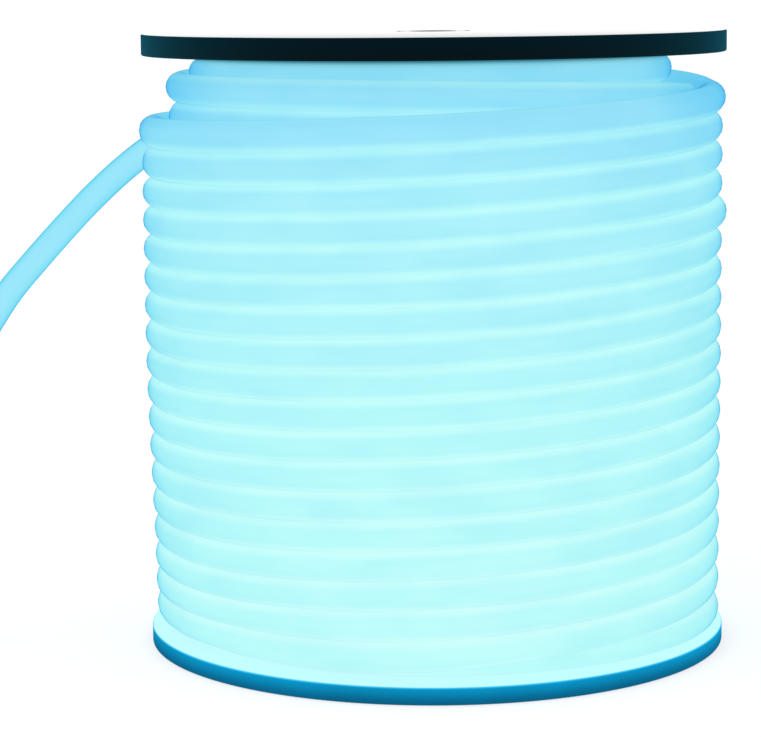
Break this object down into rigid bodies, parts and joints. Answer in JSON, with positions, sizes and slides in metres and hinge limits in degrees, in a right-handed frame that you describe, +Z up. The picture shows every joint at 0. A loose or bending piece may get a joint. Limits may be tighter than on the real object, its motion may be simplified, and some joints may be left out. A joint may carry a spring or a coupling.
{
  "type": "led neon flex strip on a reel",
  "caption": "Round glowing ice-blue LED neon flex strip, wound in close turns on an upright two-flange reel, its loose end hanging to the floor.",
  "frame": {"origin": "the reel's axis at the bottom flange's underside", "axes": "+Z up along the reel's axis; -Y is the side that faces the viewer, and the strip's loose end leaves towards -X"},
  "size_m": [0.5594, 0.3681, 0.348],
  "materials": {
    "strip": "satin",
    "end_cap": "satin",
    "top_plastic": "gloss",
    "bottom_plastic": "gloss",
    "core_plastic": "satin"
  },
  "bodies": {
    "root": {"core_tube": "core_plastic", "flange_bottom": "bottom_plastic", "flange_top": "top_plastic", "neon_tail": "strip", "neon_winding": "strip", "tail_end_cap": "end_cap"}
  },
  "joints": []
}
